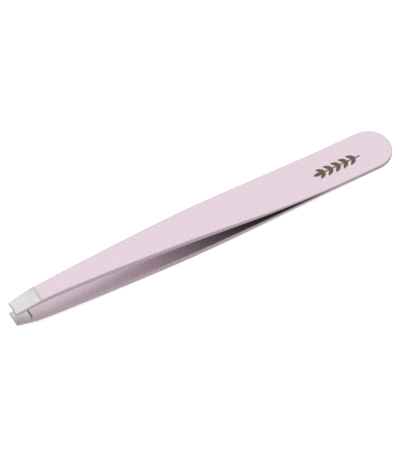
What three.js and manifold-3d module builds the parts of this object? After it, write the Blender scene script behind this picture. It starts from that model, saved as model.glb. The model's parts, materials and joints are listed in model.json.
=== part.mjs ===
// Square-tipped cosmetic tweezers. Two bowed steel arms are spot-welded face to face at the heel.
// A pink powder coat covers each arm, except on its ground tip and between the welded faces.
// Millimetres, +Z up, +X towards the heel. The part lies as it rests on a table: on the lower edge
// of its heel and on the lower arm. The origin is the centre of its bounding box's bottom face.
// An arm is described by its distance from the rear end (station) and its height above the
// closing plane, which is the plane midway between the arms.
import * as THREE from 'three';
import { mergeVertices } from 'three/addons/utils/BufferGeometryUtils.js';
import Module from 'manifold-3d';

const wasm = await Module();
wasm.setup();

// Overall
const LENGTH = 96;
const HEEL_RADIUS = 5.35;
const EDGE_RADIUS = 0.35;
const EDGE_SHARE_OF_THICKNESS = 0.42;
const REST_TILT = THREE.MathUtils.degToRad(3);

// Each arm: station, full width, height of the outer face, height of the inner face
const ARM_STATIONS = [
  [5.35, 10.7, 0.55, 0.02],
  [16, 10.7, 0.55, 0.02],
  [24, 10.55, 0.9, 0.3],
  [34, 10.15, 1.63, 0.82],
  [44, 9.25, 2.62, 1.5],
  [54, 8.2, 3.37, 2.12],
  [64, 7.1, 3.71, 2.44],
  [76, 5.75, 3.84, 2.62],
  [84, 4.9, 3.79, 2.54],
  [90, 4.4, 3.52, 2.25],
  [96, 3.65, 3.02, 1.25],
];

// Weld
const WELD_END = 16;
const WELD_END_STEP = 0.1;
const WELD_STATIONS = { spot_weld_rear: 5.5, spot_weld_front: 12 };
const NUGGET_RADIUS = 1.5;
const NUGGET_HALF_HEIGHT = 0.3;

// Coat
const COAT = 0.1;
const COAT_CLEARANCE = 0.02;
const SEAM_EDGE_RADIUS = 0.04;

// Ground tip: the outer facet, and the bare pad that grips
const FACET_ANGLE = THREE.MathUtils.degToRad(12);
const FACET_TIP_HEIGHT = 2.16;
const PAD_ANGLE = THREE.MathUtils.degToRad(10);
const PAD_TIP_HEIGHT = 1.42;
const PAD_LENGTH = 3.9;
const PAD_CORNER = 1.2;
const PAD_OVERCUT = 0.02;

// Flexure: each arm bends here, so it is divided here
const FLEX_STATION = 28;
const FLEX_GAP = 0.3;

// Printed sprig on the heel
const SPRIG_STATION = 14;
const SPRIG_OFFSET = -0.6;
const SPRIG_LENGTH = 12;
const STEM_WIDTH = 0.28;
const LEAF_LENGTH = 2.3;
const LEAF_WIDTH = 0.95;
const LEAF_ANGLE = THREE.MathUtils.degToRad(38);
const LEAF_BELLY = 0.4;
const LEAF_PAIRS = 5;
const FIRST_PAIR = 0.6;
const PRINT_HEIGHT = 0.03;
const PRINT_GAP = 0.02;

// Fineness of the curved surfaces
const HEEL_ARC_STEPS = 10;
const SIDE_STEPS = 40;
const EDGE_STEPS = 3;
const OUTLINE_STEPS = 5;
const NUGGET_RINGS = 6;
const NUGGET_SECTORS = 20;
const TANGENT_STEP = 0.1;
const MERGE_DISTANCE = 1e-5;

// How far solids that are cut later run past the tip, and how far cutting solids reach
const TIP_OVERRUN = 1;
const CLEAR_OF_PART = 20;

const xAt = (station) => LENGTH / 2 - station;

// A smooth curve through one column of ARM_STATIONS, which keeps level stretches level
function throughStations(column) {
  const stations = ARM_STATIONS.map((row) => row[0]);
  const values = ARM_STATIONS.map((row) => row[column]);
  const last = stations.length - 1;
  const slope = (i) => (values[i + 1] - values[i]) / (stations[i + 1] - stations[i]);
  const tangent = (i) => {
    if (i === 0) return slope(0);
    if (i === last) return slope(last - 1);
    const before = slope(i - 1);
    const after = slope(i);
    return before * after > 0 ? (2 * before * after) / (before + after) : 0;
  };
  return (station) => {
    const s = THREE.MathUtils.clamp(station, stations[0], stations[last]);
    const i = Math.min(stations.findLastIndex((value) => value <= s), last - 1);
    const span = stations[i + 1] - stations[i];
    const t = (s - stations[i]) / span;
    return values[i] * (1 + 2 * t) * (1 - t) ** 2 + tangent(i) * span * t * (1 - t) ** 2
      + values[i + 1] * t ** 2 * (3 - 2 * t) + tangent(i + 1) * span * t ** 2 * (t - 1);
  };
}

const widthAt = throughStations(1);
const outerAt = throughStations(2);
const innerAt = throughStations(3);

function edgeRadiusAt(station) {
  const thickness = outerAt(station) - innerAt(station);
  return Math.min(EDGE_RADIUS, EDGE_SHARE_OF_THICKNESS * thickness);
}

function toSolid(geometry) {
  const bare = geometry.clone();
  bare.deleteAttribute('normal');
  bare.deleteAttribute('uv');
  const merged = mergeVertices(bare, MERGE_DISTANCE);
  return new wasm.Manifold(new wasm.Mesh({
    numProp: 3,
    vertProperties: merged.attributes.position.array,
    triVerts: Uint32Array.from(merged.index.array),
  }));
}

function toGeometry(solid) {
  const { vertProperties, triVerts } = solid.getMesh();
  const geometry = new THREE.BufferGeometry();
  geometry.setAttribute('position', new THREE.BufferAttribute(vertProperties, 3));
  geometry.setIndex(new THREE.BufferAttribute(triVerts, 1));
  geometry.computeVertexNormals();
  return geometry;
}

// The lower arm is the upper arm mirrored in the closing plane
function mirrored(geometry) {
  const mirror = geometry.clone();
  mirror.scale(1, 1, -1);
  const index = mirror.index.array;
  for (let i = 0; i < index.length; i += 3) {
    [index[i], index[i + 1]] = [index[i + 1], index[i]];
  }
  mirror.computeVertexNormals();
  return mirror;
}

// One side of the plan outline, from the rear end to just past the tip, with outward normals
function planOutline() {
  const arcCentre = xAt(HEEL_RADIUS);
  const outline = [];
  for (let i = 0; i < HEEL_ARC_STEPS; i += 1) {
    const angle = ((i + 0.5) / HEEL_ARC_STEPS) * (Math.PI / 2);
    const normal = new THREE.Vector2(Math.cos(angle), Math.sin(angle));
    const point = normal.clone().multiplyScalar(HEEL_RADIUS).add(new THREE.Vector2(arcCentre, 0));
    outline.push({ station: LENGTH / 2 - point.x, point, normal });
  }
  const addSide = (station) => {
    const point = new THREE.Vector2(xAt(station), widthAt(station) / 2);
    const next = station + TANGENT_STEP;
    const along = new THREE.Vector2(xAt(next), widthAt(next) / 2).sub(point).normalize();
    outline.push({ station, point, normal: new THREE.Vector2(along.y, -along.x) });
  };
  const pastTip = LENGTH + TIP_OVERRUN;
  const beforeStep = WELD_END - WELD_END_STEP / 2;
  const afterStep = WELD_END + WELD_END_STEP / 2;
  [HEEL_RADIUS, beforeStep, afterStep].forEach(addSide);
  for (let i = 1; i <= SIDE_STEPS; i += 1) {
    addSide(THREE.MathUtils.lerp(afterStep, pastTip, i / SIDE_STEPS));
  }
  return outline;
}

// One arm as a closed solid, drawn in by inset all round. Between the welded faces it is drawn
// in by weldInset instead.
function armGeometry(inset, weldInset) {
  const outline = planOutline();
  const sideCount = 2 * (EDGE_STEPS + 1);
  const ringCount = 2 * sideCount;
  const positions = [];
  const indices = [];
  outline.forEach(({ station, point, normal }) => {
    const welded = station < WELD_END;
    const outerRadius = edgeRadiusAt(station) - inset;
    const innerRadius = welded ? SEAM_EDGE_RADIUS : outerRadius;
    const outer = outerAt(station) - inset;
    const inner = innerAt(station) + (welded ? weldInset : inset);
    const side = [];
    for (let k = 0; k <= EDGE_STEPS; k += 1) {
      const angle = (k / EDGE_STEPS) * (Math.PI / 2);
      const drawnIn = innerRadius * (1 - Math.sin(angle));
      side.push([drawnIn, inner + innerRadius * (1 - Math.cos(angle))]);
    }
    for (let k = 0; k <= EDGE_STEPS; k += 1) {
      const angle = (k / EDGE_STEPS) * (Math.PI / 2);
      const drawnIn = outerRadius * (1 - Math.cos(angle));
      side.push([drawnIn, outer - outerRadius * (1 - Math.sin(angle))]);
    }
    const placed = side.map(([drawnIn, height]) => [
      point.x - normal.x * (inset + drawnIn),
      point.y - normal.y * (inset + drawnIn),
      height,
    ]);
    placed.forEach(([x, y, z]) => positions.push(x, y, z));
    placed.reverse().forEach(([x, y, z]) => positions.push(x, -y, z));
  });
  const quad = (a, b, c, d) => indices.push(a, b, c, a, c, d);
  for (let i = 0; i < outline.length - 1; i += 1) {
    for (let j = 0; j < ringCount; j += 1) {
      const here = i * ringCount;
      const next = here + ringCount;
      const after = (j + 1) % ringCount;
      quad(here + j, next + j, next + after, here + after);
    }
  }
  const tipRing = (outline.length - 1) * ringCount;
  for (let k = 0; k < sideCount - 1; k += 1) {
    const opposite = ringCount - 1 - k;
    quad(k, k + 1, opposite - 1, opposite);
    quad(tipRing + k, tipRing + opposite, tipRing + opposite - 1, tipRing + k + 1);
  }
  const geometry = new THREE.BufferGeometry();
  geometry.setAttribute('position', new THREE.Float32BufferAttribute(positions, 3));
  geometry.setIndex(indices);
  return geometry;
}

// A block that holds everything between two stations
function stationBlock(from, to) {
  const block = new THREE.BoxGeometry(to - from, 2 * CLEAR_OF_PART, 2 * CLEAR_OF_PART);
  return toSolid(block.translate(xAt((from + to) / 2), 0, 0));
}

// What grinding takes off the outer face of the tip, and what the end cut takes off
function tipWaste() {
  const facet = new THREE.BoxGeometry(2 * CLEAR_OF_PART, CLEAR_OF_PART, CLEAR_OF_PART);
  facet.translate(0, 0, CLEAR_OF_PART / 2).rotateY(-FACET_ANGLE);
  facet.translate(xAt(LENGTH), 0, FACET_TIP_HEIGHT);
  return toSolid(facet).add(stationBlock(LENGTH, LENGTH + CLEAR_OF_PART));
}

// What grinding takes off the inner face to make the gripping pad: everything below a sloping
// plane, over the arm's width, with round corners at the pad's rear end
function padWaste() {
  const rear = LENGTH - PAD_LENGTH;
  const corner = rear + PAD_CORNER;
  const tip = LENGTH + TIP_OVERRUN;
  const halfWidth = (station) => widthAt(station) / 2 + PAD_OVERCUT;
  const shape = new THREE.Shape();
  shape.moveTo(xAt(tip), -halfWidth(tip));
  shape.lineTo(xAt(corner), -halfWidth(corner));
  shape.quadraticCurveTo(xAt(rear), -halfWidth(rear), xAt(rear), PAD_CORNER - halfWidth(rear));
  shape.lineTo(xAt(rear), halfWidth(rear) - PAD_CORNER);
  shape.quadraticCurveTo(xAt(rear), halfWidth(rear), xAt(corner), halfWidth(corner));
  shape.lineTo(xAt(tip), halfWidth(tip));
  const prism = new THREE.ExtrudeGeometry(shape, {
    depth: CLEAR_OF_PART,
    bevelEnabled: false,
    curveSegments: OUTLINE_STEPS,
  });
  const ground = new THREE.BoxGeometry(2 * CLEAR_OF_PART, CLEAR_OF_PART, CLEAR_OF_PART);
  ground.translate(0, 0, -CLEAR_OF_PART / 2).rotateY(-PAD_ANGLE);
  ground.translate(xAt(LENGTH), 0, PAD_TIP_HEIGHT);
  return toSolid(ground).intersect(toSolid(prism));
}

// A spot weld's fused nugget: a lens that reaches into both arms
function nuggetGeometry(station, clearance) {
  const profile = [];
  for (let i = 0; i <= NUGGET_RINGS; i += 1) {
    const angle = (i / NUGGET_RINGS - 0.5) * Math.PI;
    const onAxis = i === 0 || i === NUGGET_RINGS;
    const radius = onAxis ? 0 : (NUGGET_RADIUS + clearance) * Math.cos(angle);
    profile.push(new THREE.Vector2(radius, (NUGGET_HALF_HEIGHT + clearance) * Math.sin(angle)));
  }
  const lens = new THREE.LatheGeometry(profile, NUGGET_SECTORS).rotateX(Math.PI / 2);
  return lens.translate(xAt(station), 0, 0);
}

// The steel of the upper arm, drawn in under its coat
function steelArm() {
  let arm = toSolid(armGeometry(COAT, 0)).subtract(padWaste()).subtract(tipWaste());
  Object.values(WELD_STATIONS).forEach((station) => {
    arm = arm.subtract(toSolid(nuggetGeometry(station, COAT_CLEARANCE)));
  });
  return arm;
}

// The powder coat of the upper arm: a thin sleeve, open between the welded faces and at the tip
function coatSleeve() {
  const openWeld = -2 * COAT;
  const core = toSolid(armGeometry(COAT - COAT_CLEARANCE, openWeld));
  return toSolid(armGeometry(0, 0)).subtract(core).subtract(padWaste()).subtract(tipWaste());
}

function leafSolid(x, side) {
  const leaf = new THREE.Shape();
  leaf.moveTo(0, 0);
  leaf.quadraticCurveTo(LEAF_LENGTH * LEAF_BELLY, LEAF_WIDTH, LEAF_LENGTH, 0);
  leaf.quadraticCurveTo(LEAF_LENGTH * LEAF_BELLY, -LEAF_WIDTH, 0, 0);
  const blade = new THREE.ExtrudeGeometry(leaf, {
    depth: PRINT_HEIGHT,
    bevelEnabled: false,
    curveSegments: OUTLINE_STEPS,
  });
  blade.rotateZ(Math.PI - side * LEAF_ANGLE).translate(x, 0, 0);
  return toSolid(blade);
}

// A generic sprig of leaves, printed on the outer face of the upper arm
function sprigGeometry() {
  const pitch = (SPRIG_LENGTH - LEAF_LENGTH) / LEAF_PAIRS;
  const stem = new THREE.BoxGeometry(SPRIG_LENGTH - LEAF_LENGTH / 2, STEM_WIDTH, PRINT_HEIGHT);
  stem.translate(LEAF_LENGTH / 4, 0, PRINT_HEIGHT / 2);
  let sprig = toSolid(stem);
  for (let i = 0; i < LEAF_PAIRS; i += 1) {
    const x = SPRIG_LENGTH / 2 - (i + FIRST_PAIR) * pitch;
    sprig = sprig.add(leafSolid(x, 1)).add(leafSolid(x, -1));
  }
  const endLeaf = leafSolid(LEAF_LENGTH - SPRIG_LENGTH / 2, 0);
  const geometry = toGeometry(sprig.add(endLeaf));
  geometry.translate(xAt(SPRIG_STATION), SPRIG_OFFSET, PRINT_GAP);
  const position = geometry.attributes.position;
  for (let i = 0; i < position.count; i += 1) {
    const surface = outerAt(LENGTH / 2 - position.getX(i));
    position.setZ(i, position.getZ(i) + surface);
  }
  return geometry;
}

const steel = new THREE.MeshStandardMaterial({ color: 0xc9c9c4, roughness: 0.35, metalness: 1 });
const coat = new THREE.MeshStandardMaterial({ color: 0xe6d5df, roughness: 0.55, metalness: 0.1 });
const ink = new THREE.MeshStandardMaterial({ color: 0x6f5b43, roughness: 0.5, metalness: 0.3 });

function addMesh(group, name, geometry, material) {
  const mesh = new THREE.Mesh(geometry, material.clone());
  mesh.name = name;
  group.add(mesh);
}

const heelBlock = stationBlock(-CLEAR_OF_PART, FLEX_STATION - FLEX_GAP / 2);
const bladeBlock = stationBlock(FLEX_STATION + FLEX_GAP / 2, LENGTH + CLEAR_OF_PART);
const flexHeight = (outerAt(FLEX_STATION) + innerAt(FLEX_STATION)) / 2;

const heel = new THREE.Group();
const upperBlade = new THREE.Group();
const lowerBlade = new THREE.Group();
upperBlade.position.set(xAt(FLEX_STATION), 0, flexHeight);
lowerBlade.position.set(xAt(FLEX_STATION), 0, -flexHeight);

const layers = [
  { piece: 'arm', solid: steelArm(), material: steel },
  { piece: 'coat', solid: coatSleeve(), material: coat },
];
layers.forEach(({ piece, solid, material }) => {
  const heelGeometry = toGeometry(solid.intersect(heelBlock));
  const bladeGeometry = toGeometry(solid.intersect(bladeBlock));
  bladeGeometry.translate(-xAt(FLEX_STATION), 0, -flexHeight);
  addMesh(heel, `upper_${piece}_heel`, heelGeometry, material);
  addMesh(heel, `lower_${piece}_heel`, mirrored(heelGeometry), material);
  addMesh(upperBlade, `upper_${piece}_blade`, bladeGeometry, material);
  addMesh(lowerBlade, `lower_${piece}_blade`, mirrored(bladeGeometry), material);
});
Object.entries(WELD_STATIONS).forEach(([name, station]) => {
  addMesh(heel, name, toGeometry(toSolid(nuggetGeometry(station, 0))), steel);
});
addMesh(heel, 'printed_sprig', sprigGeometry(), ink);

const tweezers = new THREE.Group();
tweezers.add(heel, upperBlade, lowerBlade);
tweezers.rotation.y = REST_TILT;

const part = new THREE.Group();
part.add(tweezers);
part.updateMatrixWorld(true);
const box = new THREE.Box3().setFromObject(part, true);
const middle = box.getCenter(new THREE.Vector3());
tweezers.position.set(-middle.x, -middle.y, -box.min.z);

export default part;
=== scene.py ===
"""Looks of the square-tipped tweezers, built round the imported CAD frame."""
import json
import math

import bpy
from mathutils import Matrix, Vector


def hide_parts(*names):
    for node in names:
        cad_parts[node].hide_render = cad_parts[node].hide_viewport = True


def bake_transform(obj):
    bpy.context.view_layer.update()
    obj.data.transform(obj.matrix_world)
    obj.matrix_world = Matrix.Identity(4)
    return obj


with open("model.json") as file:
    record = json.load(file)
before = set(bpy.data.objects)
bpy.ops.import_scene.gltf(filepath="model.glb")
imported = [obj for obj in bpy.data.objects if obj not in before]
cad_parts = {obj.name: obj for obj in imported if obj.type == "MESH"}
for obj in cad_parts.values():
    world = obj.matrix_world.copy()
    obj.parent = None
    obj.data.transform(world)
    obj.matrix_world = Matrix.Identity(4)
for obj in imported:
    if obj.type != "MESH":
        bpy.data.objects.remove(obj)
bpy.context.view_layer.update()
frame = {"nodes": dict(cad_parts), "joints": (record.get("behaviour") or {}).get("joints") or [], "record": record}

MM = 0.001

# ---- Driving dimensions, in millimetres, the same as the CAD part's ----
LENGTH = 96
HEEL_RADIUS = 5.35
EDGE_RADIUS = 0.35
EDGE_SHARE_OF_THICKNESS = 0.42

# Each arm: station, full width, height of the outer face, height of the inner face
ARM_STATIONS = [
    (5.35, 10.7, 0.55, 0.02),
    (16, 10.7, 0.55, 0.02),
    (24, 10.55, 0.9, 0.3),
    (34, 10.15, 1.63, 0.82),
    (44, 9.25, 2.62, 1.5),
    (54, 8.2, 3.37, 2.12),
    (64, 7.1, 3.71, 2.44),
    (76, 5.75, 3.84, 2.62),
    (84, 4.9, 3.79, 2.54),
    (90, 4.4, 3.52, 2.25),
    (96, 3.65, 3.02, 1.25),
]
FLEX_STATION = 28
WELD_END = 16
WELD_END_STEP = 0.1
SEAM_EDGE_RADIUS = 0.04
COAT = 0.1
COAT_CLEARANCE = 0.02
FACET_ANGLE = math.radians(12)
FACET_TIP_HEIGHT = 2.16
PAD_ANGLE = math.radians(10)
PAD_TIP_HEIGHT = 1.42
PAD_LENGTH = 3.9
PAD_CORNER = 1.2
PAD_OVERCUT = 0.02

# ---- Details that only the visible model has, in millimetres ----

# The broken edges of the tip's end: at the outer facet, and at the gripping pad
EDGE_BREAK_ANGLE = math.radians(45)
OUTER_EDGE_BREAK = 0.14
PAD_EDGE_BREAK = 0.08

# The strip behind the gripping pad where the wheel's edge has thinned the coat; its cut faces are painted dark, a
# painted shade along the pad's rear edge
PAD_RIM_LENGTH = 0.4
PAD_RIM_RISE = 0.07

# ---- Fineness of the visible surfaces ----
HEEL_ARC_STEPS = 28
SIDE_STEPS = 100
EDGE_STEPS = 6
CORNER_STEPS = 8
TANGENT_STEP = 0.1
SHARP_ABOVE = math.radians(32)

# Rows of points along a broad face, by their distance from where its round edge ends. Near the
# rear end, where the arm is narrow, they stop just short of the middle. The least normal keeps
# their distance to the middle finite where the outline runs straight across.
FACE_COLUMNS = (0.04, 0.4, 1.0)
SHORT_OF_MIDDLE = 0.98
LEAST_NORMAL = 0.01

# ---- How far solids that are cut later run past the tip, and how far cutting solids reach ----
TIP_OVERRUN = 1
CLEAR_OF_PART = 20

# ---- Painted shade on the inner faces in the narrow crotch, between these stations, from darkest to none ----
CROTCH_SHADE_FROM = 34
CROTCH_SHADE_TO = 69
CROTCH_SHADE_RISE = 0.2  # how far it fades up the round edge, as a share of the edge's radius


def x_at(station):
    return LENGTH / 2 - station


def through_stations(column):
    """A smooth curve through one column of ARM_STATIONS, which keeps level stretches level."""
    stations = [row[0] for row in ARM_STATIONS]
    values = [row[column] for row in ARM_STATIONS]
    last = len(stations) - 1

    def slope(i):
        return (values[i + 1] - values[i]) / (stations[i + 1] - stations[i])

    def tangent(i):
        if i == 0:
            return slope(0)
        if i == last:
            return slope(last - 1)
        before, after = slope(i - 1), slope(i)
        return 2 * before * after / (before + after) if before * after > 0 else 0

    def curve(station):
        s = min(max(station, stations[0]), stations[last])
        i = min(max(k for k in range(last + 1) if stations[k] <= s), last - 1)
        span = stations[i + 1] - stations[i]
        t = (s - stations[i]) / span
        return (
            values[i] * (1 + 2 * t) * (1 - t) ** 2
            + tangent(i) * span * t * (1 - t) ** 2
            + values[i + 1] * t**2 * (3 - 2 * t)
            + tangent(i + 1) * span * t**2 * (t - 1)
        )

    return curve


width_at = through_stations(1)
outer_at = through_stations(2)
inner_at = through_stations(3)


def edge_radius_at(station):
    thickness = outer_at(station) - inner_at(station)
    return min(EDGE_RADIUS, EDGE_SHARE_OF_THICKNESS * thickness)


def smooth_step(low, high, value):
    t = min(max((value - low) / (high - low), 0), 1)
    return t * t * (3 - 2 * t)


# ---- Where the part lies in the frame ----
def lying_matrix():
    """From the arms' own frame, in millimetres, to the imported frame, in metres.

    The heel's flat face gives the lean, and the two flex hinges give the place.
    """
    lean_axis = frame["record"]["mounts"][0]["axis"]
    lean = math.atan2(-lean_axis[0], -lean_axis[2])
    pivots = [Vector(joint["pos_m"]) for joint in frame["joints"]]
    between = (pivots[0] + pivots[1]) / 2
    own_flex = Matrix.Translation((-x_at(FLEX_STATION) * MM, 0, 0))
    lying = Matrix.Translation(between) @ Matrix.Rotation(lean, 4, "Y") @ own_flex
    return lying @ Matrix.Scale(MM, 4)


LYING = lying_matrix()


# ---- Meshes ----
def new_object(name, vertices, faces, material):
    mesh = bpy.data.meshes.new(name)
    mesh.from_pydata(vertices, [], faces)
    mesh.materials.append(material)
    mesh.update()
    made = bpy.data.objects.new(name, mesh)
    bpy.context.scene.collection.objects.link(made)
    return made


def cut_away(target, tool):
    """Cuts tool from target and removes it. The cut faces keep the tool's material."""
    modifier = target.modifiers.new("cut", "BOOLEAN")
    modifier.operation = "DIFFERENCE"
    modifier.solver = "EXACT"
    modifier.material_mode = "TRANSFER"
    modifier.object = tool
    evaluated = target.evaluated_get(bpy.context.evaluated_depsgraph_get())
    mesh = bpy.data.meshes.new_from_object(evaluated)
    target.modifiers.clear()
    old = target.data
    target.data = mesh
    bpy.data.meshes.remove(old)
    bpy.data.meshes.remove(tool.data)


def plan_outline():
    """One side of the plan outline: (station, point, outward normal), from the rear past the tip."""
    centre = x_at(HEEL_RADIUS)
    outline = []
    for i in range(HEEL_ARC_STEPS):
        angle = (i + 0.5) / HEEL_ARC_STEPS * math.pi / 2
        normal = Vector((math.cos(angle), math.sin(angle)))
        point = Vector((centre, 0)) + normal * HEEL_RADIUS
        outline.append((LENGTH / 2 - point.x, point, normal))
    before_step = WELD_END - WELD_END_STEP / 2
    after_step = WELD_END + WELD_END_STEP / 2
    past_tip = LENGTH + TIP_OVERRUN
    stations = [HEEL_RADIUS, before_step]
    stations += [after_step + (past_tip - after_step) * i / SIDE_STEPS for i in range(SIDE_STEPS + 1)]
    for station in stations:
        point = Vector((x_at(station), width_at(station) / 2))
        next_station = station + TANGENT_STEP
        ahead = Vector((x_at(next_station), width_at(next_station) / 2))
        along = (ahead - point).normalized()
        outline.append((station, point, Vector((along.y, -along.x))))
    return outline


def section(station, inset, weld_inset):
    """One side of an arm's section: (distance drawn in, height), from the inner to the outer face."""
    welded = station < WELD_END
    outer_radius = edge_radius_at(station) - inset
    inner_radius = SEAM_EDGE_RADIUS if welded else outer_radius
    outer = outer_at(station) - inset
    inner = inner_at(station) + (weld_inset if welded else inset)
    side = [(inner_radius + column, inner) for column in reversed(FACE_COLUMNS)]
    for k in range(EDGE_STEPS + 1):
        angle = k / EDGE_STEPS * math.pi / 2
        height = inner + inner_radius * (1 - math.cos(angle))
        side.append((inner_radius * (1 - math.sin(angle)), height))
    for k in range(EDGE_STEPS + 1):
        angle = k / EDGE_STEPS * math.pi / 2
        height = outer - outer_radius * (1 - math.sin(angle))
        side.append((outer_radius * (1 - math.cos(angle)), height))
    side += [(outer_radius + column, outer) for column in FACE_COLUMNS]
    return [(inset + drawn_in, height) for drawn_in, height in side]


def arm_solid(name, inset, weld_inset, material):
    """One arm as a closed solid, drawn in by inset, or by weld_inset between the welded faces."""
    outline = plan_outline()
    vertices, faces = [], []
    for station, point, normal in outline:
        middle = SHORT_OF_MIDDLE * point.y / max(normal.y, LEAST_NORMAL)
        side = section(station, inset, weld_inset)
        placed = [(point - normal * min(drawn_in, middle), height) for drawn_in, height in side]
        vertices += [(spot.x, spot.y, height) for spot, height in placed]
        vertices += [(spot.x, -spot.y, height) for spot, height in reversed(placed)]
    side_count = 2 * (EDGE_STEPS + 1 + len(FACE_COLUMNS))
    ring = 2 * side_count
    for i in range(len(outline) - 1):
        here, after = i * ring, (i + 1) * ring
        for j in range(ring):
            k = (j + 1) % ring
            faces.append((here + j, after + j, after + k, here + k))
    tip = (len(outline) - 1) * ring
    for k in range(side_count - 1):
        opposite = ring - 1 - k
        faces.append((k, k + 1, opposite - 1, opposite))
        faces.append((tip + k, tip + opposite, tip + opposite - 1, tip + k + 1))
    return new_object(name, vertices, faces, material)


def level(height):
    """A level plane's height, the same at every x."""
    return lambda x: height


def ground_plane(tip_height, angle):
    """A plane's height at x: tip_height at the tip, and rising towards the heel."""
    return lambda x: tip_height + (x - x_at(LENGTH)) * math.tan(angle)


def prism(outline, bottom, top, material):
    """A closed upright prism over a plan outline given anticlockwise, between two planes."""
    count = len(outline)
    vertices = [(x, y, bottom(x)) for x, y in outline] + [(x, y, top(x)) for x, y in outline]
    faces = [tuple(reversed(range(count))), tuple(range(count, 2 * count))]
    faces += [(i, (i + 1) % count, (i + 1) % count + count, i + count) for i in range(count)]
    return new_object("waste", vertices, faces, material)


def across_tip(from_station):
    """A rectangle wider than the arm, from a station to far past the tip."""
    near, far = x_at(from_station), x_at(LENGTH + CLEAR_OF_PART)
    reach = CLEAR_OF_PART
    return [(far, -reach), (near, -reach), (near, reach), (far, reach)]


def pad_outline(length):
    """The gripping pad's plan: the arm's width, with round corners at the rear end."""
    rear = LENGTH - length
    corner = rear + PAD_CORNER
    side = [(x_at(LENGTH + TIP_OVERRUN), width_at(LENGTH) / 2 + PAD_OVERCUT)]
    side.append((x_at(LENGTH), width_at(LENGTH) / 2 + PAD_OVERCUT))
    for i in range(CORNER_STEPS + 1):
        angle = i / CORNER_STEPS * math.pi / 2
        station = corner - PAD_CORNER * math.sin(angle)
        half_width = width_at(station) / 2 + PAD_OVERCUT
        side.append((x_at(station), half_width - PAD_CORNER * (1 - math.cos(angle))))
    return [(x, -y) for x, y in side] + list(reversed(side))


def grind_tip(made, ground):
    """Grinds the facet and the pad, cuts the end and breaks its edges, all left in ground material."""
    facet_plane = ground_plane(FACET_TIP_HEIGHT, FACET_ANGLE)
    pad_plane = ground_plane(PAD_TIP_HEIGHT, PAD_ANGLE)
    clear = CLEAR_OF_PART
    facet_start = LENGTH - clear / 2
    cut_away(made, prism(across_tip(facet_start), facet_plane, level(clear), ground))
    cut_away(made, prism(pad_outline(PAD_LENGTH), level(-clear), pad_plane, ground))
    cut_away(made, prism(across_tip(LENGTH), level(-clear), level(clear), ground))
    outer_break = ground_plane(FACET_TIP_HEIGHT - OUTER_EDGE_BREAK, EDGE_BREAK_ANGLE)
    pad_break = ground_plane(PAD_TIP_HEIGHT + PAD_EDGE_BREAK, -EDGE_BREAK_ANGLE)
    break_start = LENGTH - PAD_LENGTH
    cut_away(made, prism(across_tip(break_start), outer_break, level(clear), ground))
    cut_away(made, prism(across_tip(break_start), level(-clear), pad_break, ground))


def steel_arm(name, steel):
    """The steel of one arm, drawn in under its coat."""
    arm = arm_solid(name, COAT, 0, steel)
    grind_tip(arm, steel)
    return arm


def coat_sleeve(name, coat, cut_coat, pad_rim_shade_coat):
    """The powder coat of one arm: a thin sleeve, open at the tip and between the welded faces."""
    sleeve = arm_solid(name, 0, 0, coat)
    cut_away(sleeve, arm_solid("core", COAT - COAT_CLEARANCE, -2 * COAT, cut_coat))
    # The strip behind the pad is cut a little thinner, and its cut faces are painted dark as shade along the pad's
    # rear edge
    rim_plane = ground_plane(PAD_TIP_HEIGHT - PAD_RIM_RISE, PAD_ANGLE)
    rim_outline = pad_outline(PAD_LENGTH + PAD_RIM_LENGTH)
    cut_away(sleeve, prism(rim_outline, level(-CLEAR_OF_PART), rim_plane, pad_rim_shade_coat))
    grind_tip(sleeve, cut_coat)
    return sleeve


def mark_crotch_shade(made):
    """Stores on an upper arm's coat where shade is painted: 1 on the inner face in the narrow crotch."""
    painted_shade = made.data.attributes.new("crotch_painted_shade", "FLOAT", "POINT")
    for vertex, value in zip(made.data.vertices, painted_shade.data):
        station = LENGTH / 2 - vertex.co.x
        inner = inner_at(station)
        radius = edge_radius_at(station)
        by_height = 1 - smooth_step(inner, inner + CROTCH_SHADE_RISE * radius, vertex.co.z)
        value.value = by_height * (1 - smooth_step(CROTCH_SHADE_FROM, CROTCH_SHADE_TO, station))


def mirror_in_closing_plane(made):
    """Turns an upper arm's piece into the lower arm's."""
    made.data.transform(Matrix.Scale(-1, 4, (0, 0, 1)))
    made.data.flip_normals()


def smooth(made):
    made.data.shade_smooth()
    made.data.set_sharp_from_angle(angle=SHARP_ABOVE)


# ---- Materials ----
# The colour sockets among all those of a Mix node
MIX_FIRST = 6
MIX_SECOND = 7
MIX_RESULT = 2


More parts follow.
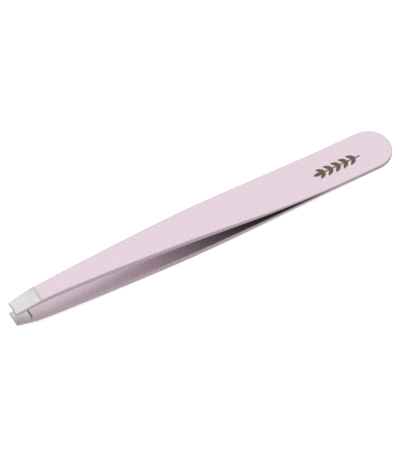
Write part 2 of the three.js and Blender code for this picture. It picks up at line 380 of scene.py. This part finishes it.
class Look:
    """A material on the Principled shader, and short ways to add nodes to it."""

    def __init__(self, name):
        self.material = bpy.data.materials.new(name)
        self.material.use_nodes = True
        self.nodes = self.material.node_tree.nodes
        self.links = self.material.node_tree.links
        self.shader = self.nodes["Principled BSDF"]
        self.place = self.nodes.new("ShaderNodeTexCoord").outputs["Object"]

    def set(self, **values):
        for name, value in values.items():
            self.shader.inputs[name.replace("_", " ")].default_value = value

    def feed(self, socket, name):
        self.links.new(socket, self.shader.inputs[name])

    def stretched(self, x, y, z):
        """The place, scaled so that a pattern of size 1 measures x, y and z millimetres."""
        scale = self.nodes.new("ShaderNodeMapping")
        scale.inputs["Scale"].default_value = (1 / (x * MM), 1 / (y * MM), 1 / (z * MM))
        self.links.new(self.place, scale.inputs["Vector"])
        return scale.outputs["Vector"]

    def noise(self, size, detail=2):
        """Noise whose pattern measures size, in millimetres, or (x, y, z)."""
        noise = self.nodes.new("ShaderNodeTexNoise")
        sizes = size if isinstance(size, tuple) else (size, size, size)
        noise.inputs["Scale"].default_value = 1
        noise.inputs["Detail"].default_value = detail
        self.links.new(self.stretched(*sizes), noise.inputs["Vector"])
        return noise.outputs["Fac"]

    def flecks(self, size):
        """Cells of that size in millimetres, each with a random value in every channel."""
        cells = self.nodes.new("ShaderNodeTexVoronoi")
        cells.inputs["Scale"].default_value = 1
        self.links.new(self.stretched(size, size, size), cells.inputs["Vector"])
        split = self.nodes.new("ShaderNodeSeparateColor")
        self.links.new(cells.outputs["Color"], split.inputs["Color"])
        return split.outputs

    def spread(self, socket, low, high, start=0.0, end=1.0):
        """Maps start to end onto low to high."""
        spread = self.nodes.new("ShaderNodeMapRange")
        spread.inputs["From Min"].default_value = start
        spread.inputs["From Max"].default_value = end
        spread.inputs["To Min"].default_value = low
        spread.inputs["To Max"].default_value = high
        self.links.new(socket, spread.inputs["Value"])
        return spread.outputs["Result"]

    def attribute(self, name):
        attribute = self.nodes.new("ShaderNodeAttribute")
        attribute.attribute_name = name
        return attribute.outputs["Fac"]

    def math(self, operation, first, second):
        node = self.nodes.new("ShaderNodeMath")
        node.operation = operation
        self.links.new(first, node.inputs[0])
        self.links.new(second, node.inputs[1])
        return node.outputs["Value"]

    def mix(self, factor, first, second):
        """A colour between two, each given as a colour or as a socket."""
        mix = self.nodes.new("ShaderNodeMix")
        mix.data_type = "RGBA"
        self.links.new(factor, mix.inputs["Factor"])
        for socket, value in ((mix.inputs[MIX_FIRST], first), (mix.inputs[MIX_SECOND], second)):
            if isinstance(value, tuple):
                socket.default_value = value
            else:
                self.links.new(value, socket)
        return mix.outputs[MIX_RESULT]

    def scaled(self, colour, gain):
        scale = self.nodes.new("ShaderNodeVectorMath")
        scale.operation = "SCALE"
        self.links.new(colour, scale.inputs["Vector"])
        self.links.new(gain, scale.inputs["Scale"])
        return scale.outputs["Vector"]

    def bumps(self, height, depth, strength=1.0):
        """Raises the surface by height, where 1 stands for depth millimetres."""
        bump = self.nodes.new("ShaderNodeBump")
        bump.inputs["Strength"].default_value = strength
        bump.inputs["Distance"].default_value = depth * MM
        self.links.new(height, bump.inputs["Height"])
        self.feed(bump.outputs["Normal"], "Normal")


def powder_coat():
    """Pale pink powder coat: soft mottling, a fine pearly grain, an orange-peel surface, and painted shade on the
    inner faces in the narrow crotch.
    """
    look = Look("powder_coat_look")
    flecks = look.flecks(0.16)
    mottle = look.noise(0.9, detail=4)
    pink = look.mix(mottle, (0.485, 0.338, 0.411, 1), (0.51, 0.363, 0.436, 1))
    grain = look.spread(flecks["Red"], 0.97, 1.03)
    # Painted shade: the base colour darkens to 0.15 of itself on the inner faces in the narrow crotch
    painted_shade = look.spread(look.attribute("crotch_painted_shade"), 1, 0.15)
    look.feed(look.scaled(pink, look.math("MULTIPLY", grain, painted_shade)), "Base Color")
    look.feed(look.spread(flecks["Green"], 0.26, 0.35), "Roughness")
    look.set(IOR=2.55)
    look.bumps(look.noise(0.45, detail=3), 0.03, 0.22)
    return look.material


def ground_coat(name, dark, light):
    """Coat that grinding has touched: dull, and mottled with steel dust."""
    look = Look(name)
    dust = look.noise(0.15, detail=3)
    look.feed(look.mix(look.spread(dust, 0, 1, 0.3, 0.7), dark, light), "Base Color")
    look.feed(look.spread(dust, 0.55, 0.75), "Roughness")
    look.bumps(dust, 0.02, 0.3)
    return look.material


def cut_powder_coat():
    """The coat's cut edge, greyed a little."""
    return ground_coat("cut_powder_coat_look", (0.45, 0.36, 0.4, 1), (0.56, 0.46, 0.5, 1))


def pad_rim_painted_shade():
    """The strip behind the gripping pad: painted shade, darker along the pad's rear edge."""
    return ground_coat("pad_rim_painted_shade_look", (0.19, 0.165, 0.165, 1), (0.3, 0.26, 0.255, 1))


def ground_steel():
    """Stainless steel with a satin finish, ground across the tip."""
    look = Look("ground_steel_look")
    lines = look.noise((0.07, 2.5, 0.07), detail=3)
    patches = look.noise(1.2)
    streaks = look.spread(lines, 0, 1, 0.3, 0.7)
    steel = look.mix(streaks, (0.45, 0.442, 0.43, 1), (0.525, 0.517, 0.505, 1))
    look.feed(look.scaled(steel, look.spread(patches, 0.95, 1.05, 0.3, 0.7)), "Base Color")
    look.feed(look.spread(lines, 0.37, 0.47), "Roughness")
    look.set(Metallic=1, Anisotropic=0.25)
    look.bumps(lines, 0.01, 0.3)
    return look.material


def weld_steel():
    """Fused steel with a heat-tinted, slightly rippled surface."""
    look = Look("weld_steel_look")
    ripple = look.noise(0.4)
    heat = look.spread(ripple, 0, 1, 0.35, 0.65)
    tint = look.mix(heat, (0.33, 0.29, 0.3, 1), (0.62, 0.55, 0.42, 1))
    look.feed(tint, "Base Color")
    look.feed(look.spread(ripple, 0.4, 0.65), "Roughness")
    look.set(Metallic=1)
    look.bumps(ripple, 0.02, 0.5)
    return look.material


def bronze_ink():
    """Bronze-brown print, slightly metallic, with the speckle of the coat under it."""
    look = Look("bronze_ink_look")
    speckle = look.noise(0.12)
    wear = look.spread(speckle, 0, 1, 0.3, 0.75)
    brown = look.mix(wear, (0.07, 0.043, 0.024, 1), (0.13, 0.085, 0.05, 1))
    look.feed(brown, "Base Color")
    look.feed(look.spread(speckle, 0.4, 0.6), "Roughness")
    look.set(Metallic=0.35)
    look.bumps(speckle, 0.01, 0.3)
    return look.material


def white_paper():
    """A light table under matt white paper."""
    look = Look("white_paper_look")
    look.feed(look.mix(look.noise(300), (0.94, 0.94, 0.94, 1), (0.96, 0.96, 0.96, 1)), "Base Color")
    look.set(Roughness=0.9, Specular_IOR_Level=0.1)
    look.set(Emission_Color=(1, 1, 1, 1), Emission_Strength=FLOOR_GLOW)
    return look.material


# ---- Pieces ----
def place_arm_piece(made, arm, replaced):
    """Lays an arm's piece in the frame, mirrored for the lower arm, and hides the CAD nodes it replaces."""
    if arm == "lower":
        mirror_in_closing_plane(made)
    made.data.transform(LYING)
    smooth(made)
    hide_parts(*replaced)
    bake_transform(made)


def add_arms(steel, coat, cut_coat, pad_rim_shade_coat):
    for arm in ("upper", "lower"):
        bar = steel_arm(f"{arm}_arm", steel)
        bar_nodes = [f"{arm}_arm_heel", f"{arm}_arm_blade"]
        place_arm_piece(bar, arm, bar_nodes)
        sleeve = coat_sleeve(f"{arm}_coat", coat, cut_coat, pad_rim_shade_coat)
        # Marks where shade is painted on the coat's inner faces in the narrow crotch
        mark_crotch_shade(sleeve)
        sleeve_nodes = [f"{arm}_coat_heel", f"{arm}_coat_blade"]
        place_arm_piece(sleeve, arm, sleeve_nodes)


def finish_carried(material, *names):
    """Gives CAD nodes that are shown as they are a material."""
    for name in names:
        for material_slot in frame["nodes"][name].material_slots:
            material_slot.material = material


# ---- Studio ----
FLOOR_SIZE = 4
FLOOR_GLOW = 0.45

# The tent is brightest in the direction of its middle, and fades between two cosines from it.
# The table's light is added to it, and grows between two heights of a direction below level.
TENT_MIDDLE = (0.05, 0.7, 0.9)
TENT_EDGE = (-0.15, 1)
TENT_GLOW = 1.63
TENT_EDGE_GLOW = 0.6
TABLE_EDGE = (-0.5, -0.05)
TABLE_GLOW = 0.16


def add_floor():
    """A plain floor, which the camera sees but which throws no light back up on the part."""
    half = FLOOR_SIZE / 2
    corners = [(-half, -half, 0), (half, -half, 0), (half, half, 0), (-half, half, 0)]
    floor = new_object("floor", corners, [(0, 1, 2, 3)], white_paper())
    floor.visible_diffuse = False
    floor.visible_glossy = False


def add_light_tent():
    """An even white light tent over the part, and a pale table's light from below the horizon."""
    world = bpy.data.worlds.new("studio")
    bpy.context.scene.world = world
    world.use_nodes = True
    nodes, links = world.node_tree.nodes, world.node_tree.links

    def ramp(value, edges, low, high):
        """Goes smoothly from low to high as the value goes from one edge to the other."""
        node = nodes.new("ShaderNodeMapRange")
        node.interpolation_type = "SMOOTHSTEP"
        for name, number in zip(("From Min", "From Max", "To Min", "To Max"), (*edges, low, high)):
            node.inputs[name].default_value = number
        links.new(value, node.inputs["Value"])
        return node.outputs["Result"]

    direction = nodes.new("ShaderNodeTexCoord").outputs["Generated"]
    facing = nodes.new("ShaderNodeVectorMath")
    facing.operation = "DOT_PRODUCT"
    facing.inputs[1].default_value = Vector(TENT_MIDDLE).normalized()
    links.new(direction, facing.inputs[0])
    height = nodes.new("ShaderNodeSeparateXYZ")
    links.new(direction, height.inputs["Vector"])
    glow = nodes.new("ShaderNodeMath")
    glow.operation = "ADD"
    tent = ramp(facing.outputs["Value"], TENT_EDGE, TENT_EDGE_GLOW, TENT_GLOW)
    table = ramp(height.outputs["Z"], TABLE_EDGE, TABLE_GLOW, 0)
    links.new(tent, glow.inputs[0])
    links.new(table, glow.inputs[1])
    links.new(glow.outputs["Value"], nodes["Background"].inputs["Strength"])
    nodes["Background"].inputs["Color"].default_value = (1, 1, 1, 1)


# ---- Camera: in the arms' own frame, with lengths in millimetres ----
CAMERA_AZIMUTH = math.radians(-30.05)
CAMERA_ELEVATION = math.radians(52.82)
CAMERA_DISTANCE = 1200
CAMERA_LENS = 428
CAMERA_AIM = (-0.65, -0.38)


def add_camera():
    """A long lens, aimed just beside the closing plane's middle and level with the arms' own frame."""
    a, e = CAMERA_AZIMUTH, CAMERA_ELEVATION
    back = Vector((math.sin(a) * math.cos(e), -math.cos(a) * math.cos(e), math.sin(e)))
    right = Vector((math.cos(a), math.sin(a), 0))
    up = back.cross(right)
    position = right * CAMERA_AIM[0] + up * CAMERA_AIM[1] + back * CAMERA_DISTANCE
    turn = Matrix((right, up, back)).transposed().to_4x4()
    lean = LYING.to_3x3().normalized().to_4x4()
    data = bpy.data.cameras.new("camera")
    data.lens = CAMERA_LENS
    data.clip_start = 0.01
    camera = bpy.data.objects.new("camera", data)
    bpy.context.scene.collection.objects.link(camera)
    camera.matrix_world = Matrix.Translation(LYING @ position) @ lean @ turn
    bpy.context.scene.camera = camera


add_arms(ground_steel(), powder_coat(), cut_powder_coat(), pad_rim_painted_shade())
finish_carried(weld_steel(), "spot_weld_rear", "spot_weld_front")
finish_carried(bronze_ink(), "printed_sprig")
add_floor()
add_light_tent()
add_camera()
bpy.context.scene.view_settings.view_transform = "Standard"
